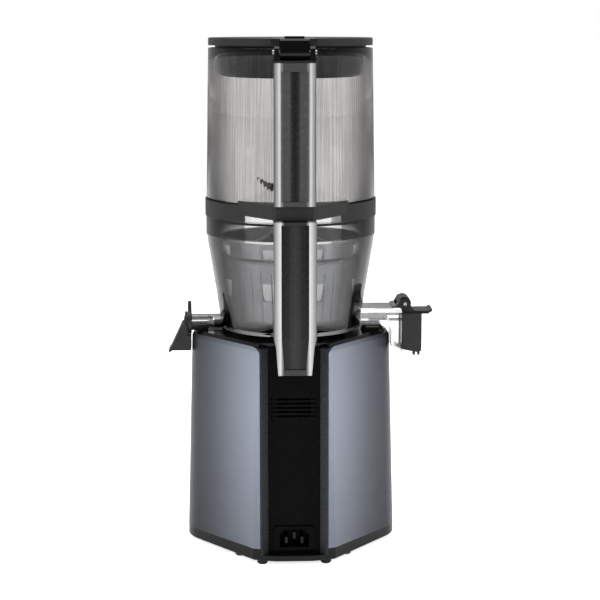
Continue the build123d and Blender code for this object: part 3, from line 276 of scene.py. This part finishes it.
def banded(name, stops, rough, coat=0.3, specular=0.4):
    """Smoke plastic whose tone follows stops, which are distances in millimetres from the middle plane and
    how light it is there.
    On the handles the light band near each edge is a painted highlight of the rounded edge; the dark middle
    is the plastic's own dark core."""
    material, nodes, links, shader = new_material(name)
    shader.inputs["Coat Weight"].default_value = coat
    shader.inputs["Coat Roughness"].default_value = 0.1
    shader.inputs["Specular IOR Level"].default_value = specular
    sideways = position(nodes, links)[0]
    flow = noise(nodes, links, MOULDING_WAVE, detail=1, stretch=(1, 1, 0.12))
    flow = combine(nodes, links, "MULTIPLY", flow, STOP_WANDER * MM)
    sideways = combine(nodes, links, "ADD", sideways, flow)
    sideways = combine(nodes, links, "SUBTRACT", sideways, STOP_WANDER / 2 * MM)
    reach = stops[-1][0]
    ramp = nodes.new("ShaderNodeValToRGB")
    links.new(combine(nodes, links, "DIVIDE", sideways, reach * MM), ramp.inputs["Fac"])
    ramp.color_ramp.interpolation = "EASE"
    points = ramp.color_ramp.elements
    for k, (distance, tone) in enumerate(stops):
        point = points[k] if k < 2 else points.new(distance / reach)
        point.position = distance / reach
        point.color = (tone, tone * 0.99, tone, 1)
    links.new(ramp.outputs["Color"], shader.inputs["Base Color"])
    vary(nodes, links, noise(nodes, links, 5), rough * 0.7, rough * 1.3, shader.inputs["Roughness"])
    relief(nodes, links, noise(nodes, links, 6, detail=1), 0.004, shader)
    return material


PANEL = satin_paint_with_painted_light("satin_panel", (0.135, 0.148, 0.180))
BLACK = opaque("gloss_black", (0.003, 0.003, 0.0034), 0.12, grain=2.5, depth=0.004, mottle=0.15,
               rough_spread=0.03, specular=0.35)
RECESS = opaque("recess_black", (0.0026, 0.0026, 0.003), 0.3, grain=0.4, depth=0.004, mottle=0.15,
                specular=0.06)
CHARCOAL = opaque("charcoal_plastic", (0.022, 0.022, 0.0225), 0.42, grain=0.35, depth=0.02, mottle=0.08,
                  specular=0.4)
GRIP_BLACK = opaque("wing_black", (0.006, 0.006, 0.0063), 0.3, grain=0.5, depth=0.005, mottle=0.08,
                    specular=0.3)
# Painted shade: a darker, duller copy of the charcoal plastic for the lid skirt, which hangs under the lid
# inside the hopper.
SKIRT_IN_SHADE = opaque("skirt_painted_shade", (0.010, 0.010, 0.0103), 0.4, grain=0.35, depth=0.02, mottle=0.08,
               specular=0.2)
TRIM = opaque("trim_grey", (0.013, 0.0145, 0.018), 0.30, grain=0.3, depth=0.008)
# The grazing tints are partly the longer path through the smoke and partly painted shade at the limb; the
# bowl's near-black grazing tint is mostly painted shade.
SMOKE = clear("smoke_clear", (0.83, 0.815, 0.81), (0.26, 0.245, 0.245), depth=0.004, streaks=0.3)
SMOKE_BOWL = clear("smoke_bowl", (0.92, 0.92, 0.92), (0.03, 0.03, 0.032), depth=0.004, turn=(0.12, 0.48),
                   zone=bowl_painted_shade, specular=0.25)
# Painted highlights: the light stops at 12.3 and 13 millimetres are the highlights of the handles' rounded
# edges.
SMOKE_HANDLE_WITH_HIGHLIGHTS = banded("smoke_handle", ((0, 0.02), (9.2, 0.022), (10.6, 0.22), (12.3, 0.66), (14, 0.50),
                                      (15.8, 0.32), (17.8, 0.12)), 0.2)
HOPPER_HANDLE = banded("smoke_hopper_handle", ((0, 0.05), (9, 0.05), (11, 0.16), (13, 0.55), (14.8, 0.32),
                                               (17.4, 0.09)), 0.2)
HOPPER_GRIP = banded("smoke_hopper_grip", ((0, 0.010), (2.2, 0.016), (5, 0.060), (9, 0.060),
                                           (11.4, 0.11)), 0.25, specular=0.2, coat=0.1)
GRIP = banded("grip_dark", ((0, 0.03), (3, 0.024), (6, 0.012), (11.4, 0.008)), 0.25, specular=0.2, coat=0.1)
# Painted shade: the near-black grazing tint darkens the strainer towards its limb, where a round body turns
# away from the light.
STRAINER_SMOKE_AND_SHADE = clear("strainer_dark", (0.80, 0.805, 0.85), (0.01, 0.01, 0.0105), rough=0.05, depth=0.002,
                      mottle=0.02, turn=(0.10, 0.36), zone=strainer_zone, specular=0.06)
STRAINER_LIGHT = opaque("strainer_light", (0.96, 0.96, 0.97), 0.45, grain=0.5, depth=0.01, mottle=0.02,
                        specular=0.2)
AUGER = opaque("auger_grey", (0.03, 0.03, 0.033), 0.38, grain=0.5, depth=0.02)
RUBBER = opaque("silicone", (0.012, 0.012, 0.013), 0.6, grain=0.25, depth=0.02)
STEEL = opaque("steel", (0.55, 0.55, 0.56), 0.25, metallic=1, grain=0.3, depth=0.004, stretch=(1, 1, 8))
# Painted shade: a near-black copy of the steel for the inlet pins, which sit deep in the socket.
STEEL_IN_SHADE = opaque("steel_painted_shade", (0.05, 0.05, 0.05), 0.5, metallic=1, grain=0.3, depth=0.004)
LAMINATION = opaque("lamination", (0.22, 0.22, 0.23), 0.4, metallic=1, grain=0.6, depth=0.03,
                    stretch=(0.05, 0.05, 3))
COPPER = opaque("copper_wire", (0.45, 0.16, 0.06), 0.3, metallic=1, grain=0.8, depth=0.1)
CAST = opaque("cast_alloy", (0.42, 0.42, 0.43), 0.45, metallic=1, grain=0.8, depth=0.04)
GEAR = opaque("gear_plastic", (0.62, 0.60, 0.53), 0.4, grain=0.6, depth=0.01)
BOARD = opaque("circuit_board", (0.01, 0.09, 0.04), 0.3, grain=1.2, depth=0.02, mottle=0.3)
POINTER = opaque("pointer", (0.6, 0.6, 0.6), 0.3, grain=0.5, depth=0.01)

SLOT_MATERIALS = {
    "body_panel": PANEL, "black_gloss": BLACK, "charcoal": CHARCOAL, "trim_grey": TRIM,
    "smoke_clear": SMOKE, "smoke_handle": SMOKE_HANDLE_WITH_HIGHLIGHTS, "grip_dark": GRIP,
    "strainer_light": STRAINER_LIGHT, "strainer_dark": STRAINER_SMOKE_AND_SHADE, "auger_grey": AUGER,
    "silicone": RUBBER, "steel": STEEL, "lamination": LAMINATION, "copper": COPPER,
    "cast_alloy": CAST, "gear_plastic": GEAR, "circuit": BOARD, "pointer": POINTER,
}


# ---- Carried-over CAD nodes ------------------------------------------------------------------
def soften(node, width_mm):
    """Smooth shading, with a small radius on the sharp edges."""
    piece = NODES[node]
    for face in piece.data.polygons:
        face.use_smooth = True
    if width_mm:
        bevel = piece.modifiers.new("edges", "BEVEL")
        bevel.width = width_mm * MM
        bevel.segments = 3
        bevel.limit_method = "ANGLE"
        bevel.angle_limit = radians(32)
        bevel.harden_normals = True
    else:
        piece.data.set_sharp_from_angle(angle=radians(32))


NODE_MATERIALS = {"rear_cover": RECESS, "inlet_socket": RECESS, "inlet_pins": STEEL_IN_SHADE,
                  "hopper_handle": HOPPER_HANDLE, "hopper_grip": HOPPER_GRIP, "juicing_bowl": SMOKE_BOWL,
                  "lid_skirt": SKIRT_IN_SHADE, "hopper_floor": CHARCOAL, "cutting_wing": GRIP_BLACK}
EDGE_RADII = {"body_shell": 0.7, "collar_ring": 0.7, "pulp_flap": 0.6, "juice_nozzle": 0.5, "top_deck": 0.4,
              "rear_trim_left": 0.4, "rear_trim_right": 0.4, "inlet_socket": 0.4, "lid_hinge_arm": 0.6,
              "control_knob": 0.4, "base_plate": 0.4, "juice_lever": 0.3, "hinge_block": 0.5,
              "hopper_floor": 0.4, "strainer_outer": 0.25, "bowl_handle": 1.2, "hopper_handle": 1.2}
for entry in frame["record"]["subparts"]:
    node = entry["node"]
    soften(node, EDGE_RADII.get(node, 0))
    NODES[node].data.materials.clear()
    NODES[node].data.materials.append(NODE_MATERIALS.get(node, SLOT_MATERIALS[entry["material_slot"]]))


# ---- Fluted hopper wall ------------------------------------------------------------------------
def mesh_piece(name, points, faces, material, body, slot, *replaced):
    """A new object in metres, riding on a body and standing for the CAD nodes it replaces."""
    mesh = bpy.data.meshes.new(name)
    mesh.from_pydata(points, [], faces)
    mesh.materials.append(material)
    for face in mesh.polygons:
        face.use_smooth = True
    piece = bpy.data.objects.new(name, mesh)
    bpy.context.scene.collection.objects.link(piece)
    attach(piece, body)
    if replaced:
        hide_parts(*replaced)
    return piece


def rings(rows):
    """Quads between successive rows of points that each run right round, the last joined to the first."""
    count = len(rows[0])
    points = [point for row in rows for point in row]
    faces = []
    for row in range(len(rows)):
        low, high = row * count, (row + 1) % len(rows) * count
        faces += [(low + k, low + (k + 1) % count, high + (k + 1) % count, high + k) for k in range(count)]
    return points, faces


HOPPER_LOW, HOPPER_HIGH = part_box("hopper")
HOPPER_FOOT_R = (HOPPER_HIGH.x - HOPPER_LOW.x) / 2 / MM      # the wall narrows a little upwards
HOPPER_TOP_R = HOPPER_FOOT_R - 2.3
HOPPER_FOOT, HOPPER_TOP = HOPPER_LOW.z / MM, HOPPER_HIGH.z / MM
HOPPER_WALL = 2.2
FLUTES, FLUTE_DEPTH = 150, 0.09
RIB_TURN, RIB_SPREAD = 29.5, 1.3                             # degrees: a pair's middle, each rib from it
RIB_HALF, RIB_DEPTH = 0.5, 1.6                               # degrees, millimetres


def hopper_wall():
    """Smooth outside, fine flutes inside, and two pairs of ribs inside at the front."""
    steps = FLUTES * 6
    turns = [2 * pi * k / steps for k in range(steps)]
    rib_turns = [radians(-90 + side * RIB_TURN + offset)
                 for side in (1, -1) for offset in (-RIB_SPREAD, RIB_SPREAD)]

    def inset(turn):
        flute = FLUTE_DEPTH * abs(sin(turn * FLUTES / 2))
        near = min(abs((turn - rib + pi) % (2 * pi) - pi) for rib in rib_turns) / radians(RIB_HALF)
        return flute + RIB_DEPTH * max(0, 1 - near ** 2) ** 0.5

    insets = [inset(turn) for turn in turns]

    def radius_at(height):
        share = (height - HOPPER_FOOT) / (HOPPER_TOP - HOPPER_FOOT)
        return HOPPER_FOOT_R + (HOPPER_TOP_R - HOPPER_FOOT_R) * share

    def outside(height, shrink=0.0):
        radius = radius_at(height) - shrink
        return [at(radius * cos(turn), radius * sin(turn), height) for turn in turns]

    def inside(height, share):
        radius = radius_at(height) - HOPPER_WALL
        return [at((radius - share * deep) * cos(turn), (radius - share * deep) * sin(turn), height)
                for turn, deep in zip(turns, insets)]

    rows = [outside(HOPPER_FOOT, 0.3), outside(HOPPER_FOOT + 0.3), outside(HOPPER_TOP - 0.6),
            outside(HOPPER_TOP - 0.2, 0.2), outside(HOPPER_TOP, 0.7), inside(HOPPER_TOP, -1),
            inside(HOPPER_TOP - 8, 0), inside(HOPPER_TOP - 12, 1), inside(HOPPER_FOOT + 5, 1),
            inside(HOPPER_FOOT, 0)]
    points, faces = rings(rows)
    piece = mesh_piece("hopper_wall", points, faces, SMOKE, "hopper", "smoke_clear", "hopper")
    bm = bmesh.new()
    bm.from_mesh(piece.data)
    bmesh.ops.recalc_face_normals(bm, faces=bm.faces)
    bm.to_mesh(piece.data)
    bm.free()


hopper_wall()


# ---- Room, lights and camera -----------------------------------------------------------------
def looked_through(nodes, links, low, high):
    """A strength: high for what the camera sees, straight or through clear parts, low for the rest."""
    path = nodes.new("ShaderNodeLightPath")
    seen = nodes.new("ShaderNodeMath")
    seen.operation = "MAXIMUM"
    links.new(path.outputs["Is Camera Ray"], seen.inputs[0])
    links.new(path.outputs["Is Transmission Ray"], seen.inputs[1])
    strength = nodes.new("ShaderNodeMapRange")
    strength.inputs["To Min"].default_value = low
    strength.inputs["To Max"].default_value = high
    links.new(seen.outputs[0], strength.inputs["Value"])
    return strength.outputs["Result"]


FLOOR_RADIUS, FLOOR_SIDES = 30, 96
FLOOR_GLOW = 0.80


def make_floor():
    mesh = bpy.data.meshes.new("floor")
    turns = [2 * pi * k / FLOOR_SIDES for k in range(FLOOR_SIDES)]
    ring = [(FLOOR_RADIUS * cos(turn), FLOOR_RADIUS * sin(turn), 0) for turn in turns]
    mesh.from_pydata(ring, [], [list(range(FLOOR_SIDES))])
    floor = bpy.data.objects.new("floor", mesh)
    bpy.context.scene.collection.objects.link(floor)
    material, nodes, links, shader = new_material("pale_floor")
    tint(nodes, links, noise(nodes, links, 400), (0.85, 0.85, 0.85), 0.01, shader.inputs["Base Color"])
    shader.inputs["Roughness"].default_value = 0.8
    shader.inputs["Specular IOR Level"].default_value = 0.1
    shader.inputs["Emission Color"].default_value = (1, 1, 1, 1)
    links.new(looked_through(nodes, links, 0.0, FLOOR_GLOW), shader.inputs["Emission Strength"])
    floor.data.materials.append(material)


def make_world():
    """A white backdrop for what looks past the object. What it reflects is a room that is light
    in front of the machine and dark behind it, where the camera stands."""
    world = bpy.data.worlds.new("studio")
    bpy.context.scene.world = world
    world.use_nodes = True
    nodes, links = world.node_tree.nodes, world.node_tree.links
    background = nodes["Background"]
    coords = nodes.new("ShaderNodeTexCoord")
    split = nodes.new("ShaderNodeSeparateXYZ")
    links.new(coords.outputs["Generated"], split.inputs["Vector"])
    room = nodes.new("ShaderNodeMapRange")
    room.inputs["From Min"].default_value = -0.6
    room.inputs["From Max"].default_value = 0.7
    room.inputs["To Min"].default_value = 0.55
    room.inputs["To Max"].default_value = 0.05
    links.new(split.outputs["Y"], room.inputs["Value"])
    backdrop = nodes.new("ShaderNodeMath")
    backdrop.operation = "MAXIMUM"
    links.new(room.outputs["Result"], backdrop.inputs[0])
    links.new(looked_through(nodes, links, 0.0, 1.0), backdrop.inputs[1])
    links.new(backdrop.outputs[0], background.inputs["Strength"])
    background.inputs["Color"].default_value = (1, 1, 1, 1)


def area_light(name, place, aim, width, height, power, glossy=True):
    """A soft box: it lights the object and shows in its gloss, not straight or through clear parts."""
    data = bpy.data.lights.new(name, "AREA")
    data.shape = "RECTANGLE"
    data.size, data.size_y = width, height
    data.energy = power
    light = bpy.data.objects.new(name, data)
    light.location = place
    light.rotation_euler = (aim - place).to_track_quat("-Z", "Y").to_euler()
    light.visible_camera = False
    light.visible_transmission = False
    light.visible_glossy = glossy
    bpy.context.scene.collection.objects.link(light)


def make_lights():
    aim = at(0, 0, 230)
    area_light("edge_left", at(900, 500, 500), aim, 0.3, 1.1, 5, glossy=False)
    area_light("edge_right", at(-900, 500, 500), aim, 0.3, 1.1, 5, glossy=False)
    area_light("rear_near", at(0, 1500, 900), aim, 0.5, 0.5, 9, glossy=False)
    area_light("overhead", at(0, 200, 1900), aim, 1.4, 1.4, 16)
    area_light("front", at(0, -1700, 900), aim, 1.6, 1.2, 14, glossy=False)


CAMERA_DISTANCE, CAMERA_HEIGHT = 1454, 464
CAMERA_TURN = 178.0      # seen from behind, a little towards the juice side
CAMERA_PITCH = 9.63
CAMERA_SWING = -0.33     # the object stands a little left of the middle of the view
LENS, SENSOR = 98.8, 36


def make_camera():
    data = bpy.data.cameras.new("camera")
    data.sensor_width = SENSOR
    data.lens = LENS
    camera = bpy.data.objects.new("camera", data)
    turn = radians(CAMERA_TURN)
    camera.location = at(CAMERA_DISTANCE * sin(turn), -CAMERA_DISTANCE * cos(turn), CAMERA_HEIGHT)
    camera.rotation_euler = (radians(90 - CAMERA_PITCH), 0, turn + radians(CAMERA_SWING))
    bpy.context.scene.collection.objects.link(camera)
    bpy.context.scene.camera = camera


bpy.context.scene.view_settings.view_transform = "Standard"
make_floor()
make_world()
make_lights()
make_camera()
